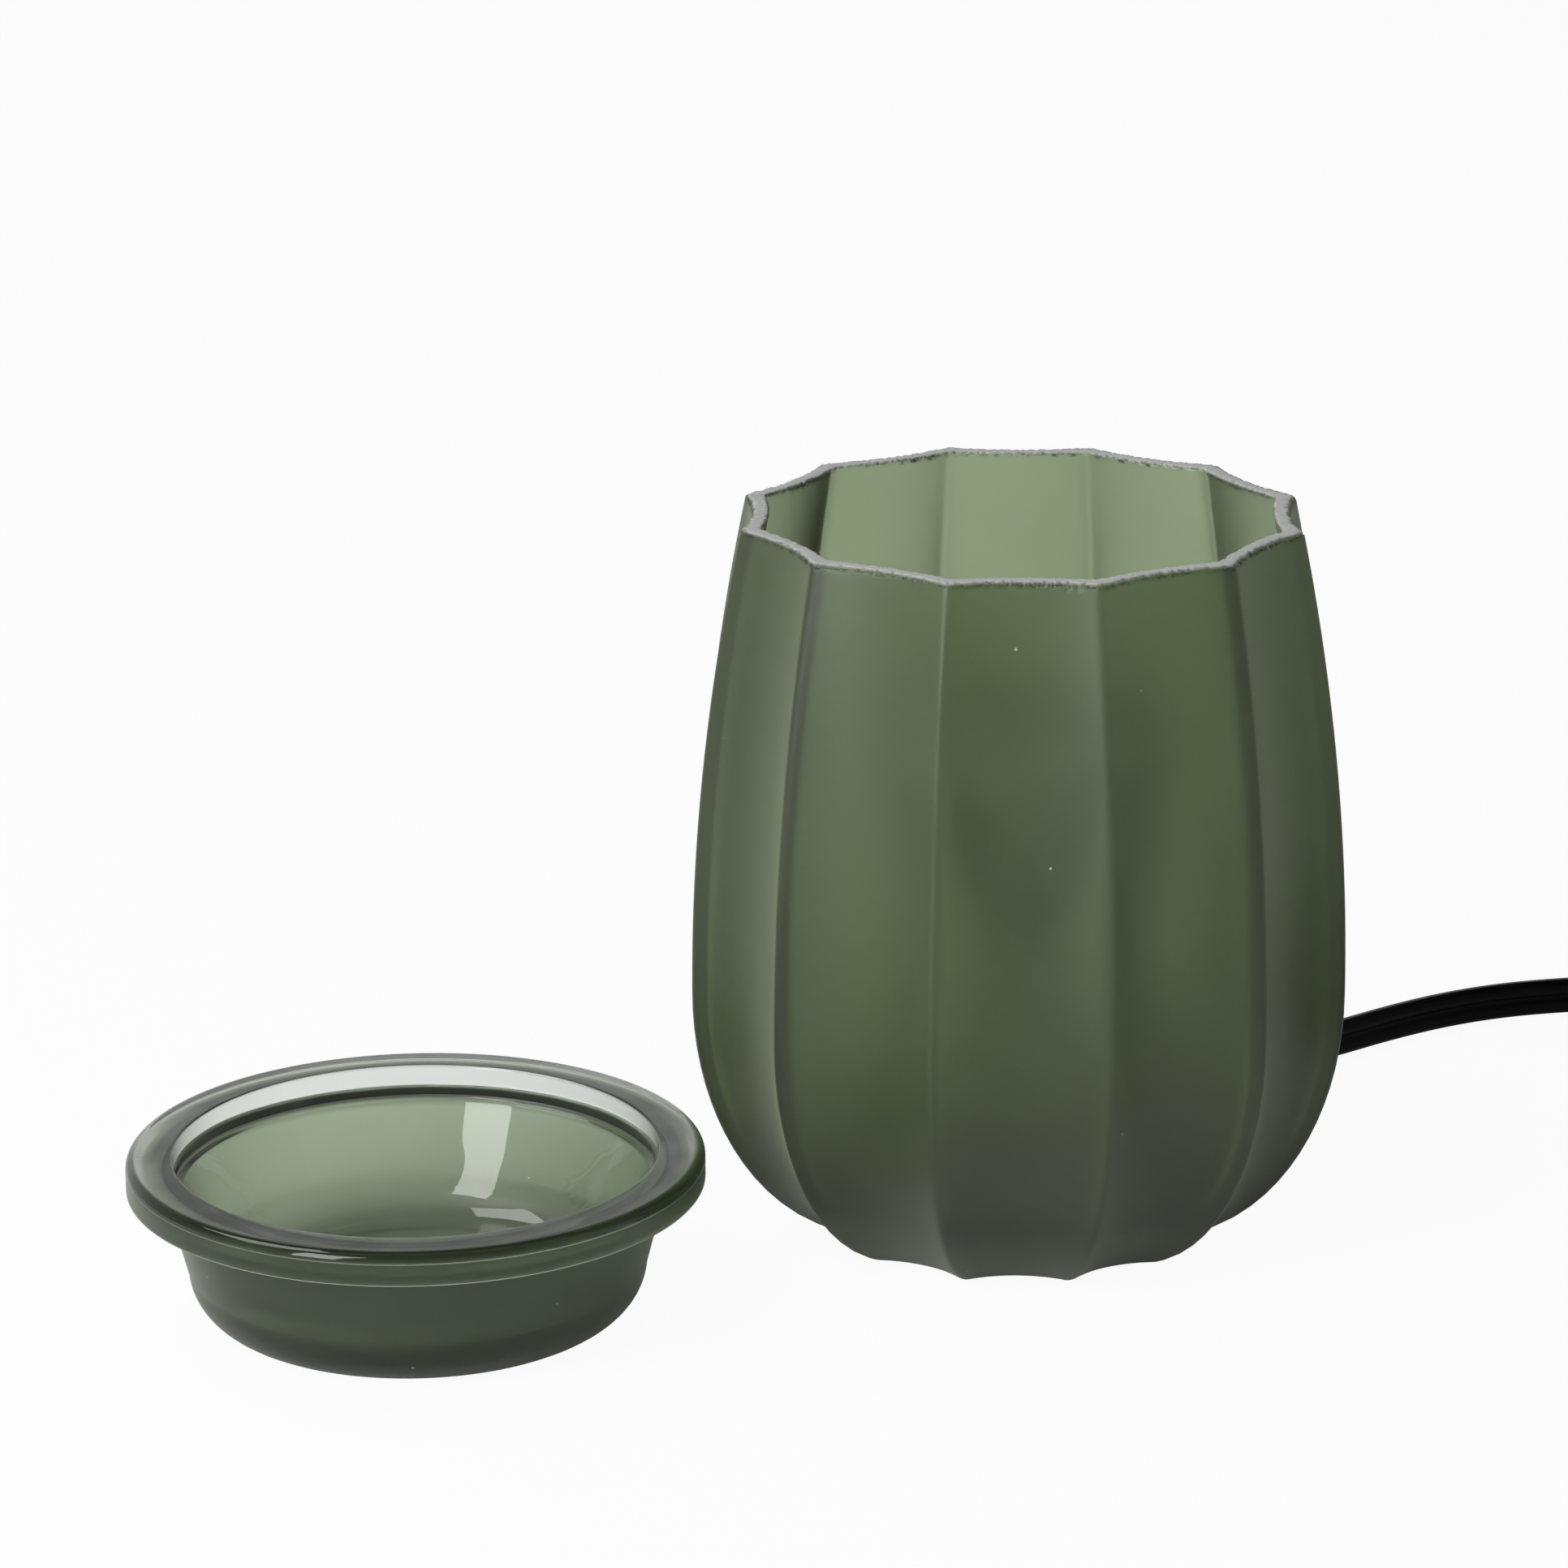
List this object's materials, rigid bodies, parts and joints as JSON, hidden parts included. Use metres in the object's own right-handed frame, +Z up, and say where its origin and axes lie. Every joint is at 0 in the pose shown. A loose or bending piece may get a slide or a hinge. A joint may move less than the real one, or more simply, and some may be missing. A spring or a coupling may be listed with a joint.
{
  "type": "electric wax melt warmer",
  "caption": "Electric wax melt warmer: a fluted satin glass vessel with a twist-lock lamp inside, a separate glass melt dish, and a switched mains lead.",
  "frame": {"origin": "the middle of the glass vessel's foot, on the table", "axes": "+Z up along the vessel's axis; +X to the right and +Y away from the camera, turned so that a flute's middle lies on +X"},
  "size_m": [0.3722, 0.2032, 0.123],
  "materials": {
    "satin_glass": "dark green glass with an acid-etched satin skin outside and inside, rim cut and ground",
    "dish_glass": "green glass, glossy inside and on the flange, satin outside",
    "black_rubber": "moulded, satin",
    "zinc_steel": "zinc plated",
    "ceramic": "white glazed ceramic, opaque",
    "spring_brass": "rolled strip",
    "sleeve": "white glass fibre sleeve",
    "cap_plastic": "natural nylon",
    "core_plastic": "black insulation",
    "reflector_glass": "pressed glass with a mirror coat inside",
    "clear_glass": "clear",
    "pin_metal": "turned",
    "black_plastic": "moulded, fine texture",
    "rocker_plastic": "moulded, smooth",
    "plug_plastic": "moulded over the lead",
    "blade_brass": "nickel plated",
    "cord_jacket": "black jacket, a groove along each flat side",
    "tie_plastic": "soft strap"
  },
  "bodies": {
    "warmer": {"glass_vessel": "satin_glass", "cord_bushing": "black_rubber", "threaded_pipe": "zinc_steel", "pipe_nuts": "zinc_steel", "rubber_washers": "black_rubber", "plain_washer": "zinc_steel", "lock_washer": "zinc_steel", "holder_bracket": "zinc_steel", "holder_cover": "ceramic", "holder_body": "ceramic", "holder_contacts": "spring_brass", "holder_screws": "zinc_steel", "holder_leads": "sleeve", "crimp_caps": "cap_plastic", "cord_cores": "core_plastic", "switch_lower_shell": "black_plastic", "switch_upper_shell": "black_plastic", "switch_contacts": "spring_brass", "switch_screws": "zinc_steel", "plug_body": "plug_plastic", "plug_blades": "blade_brass", "cord_to_switch": "cord_jacket", "cord_to_coil": "cord_jacket", "cord_coil": "cord_jacket", "cord_to_plug": "cord_jacket", "coil_tie": "tie_plastic"},
    "dish": {"melt_dish": "dish_glass"},
    "lamp": {"lamp_base": "ceramic", "lamp_reflector": "reflector_glass", "lamp_front_glass": "clear_glass", "lamp_capsule": "clear_glass", "lamp_pins": "pin_metal"},
    "rocker": {"switch_rocker": "rocker_plastic", "switch_blade": "spring_brass"}
  },
  "joints": [
    {"name": "dish_lift", "type": "slide", "parent": "warmer", "child": "dish", "axis": [0, 0, 1], "range_m": [0, 0.15]},
    {"name": "lamp_twist", "type": "hinge", "parent": "warmer", "child": "lamp", "pos_m": [0, 0, 0.04], "axis": [0, 0, 1], "range_deg": [0, 30]},
    {"name": "rocker_press", "type": "hinge", "parent": "warmer", "child": "rocker", "pos_m": [0.216, 0.032, 0.0125], "axis": [-1, 0, 0], "range_deg": [0, 20]}
  ]
}
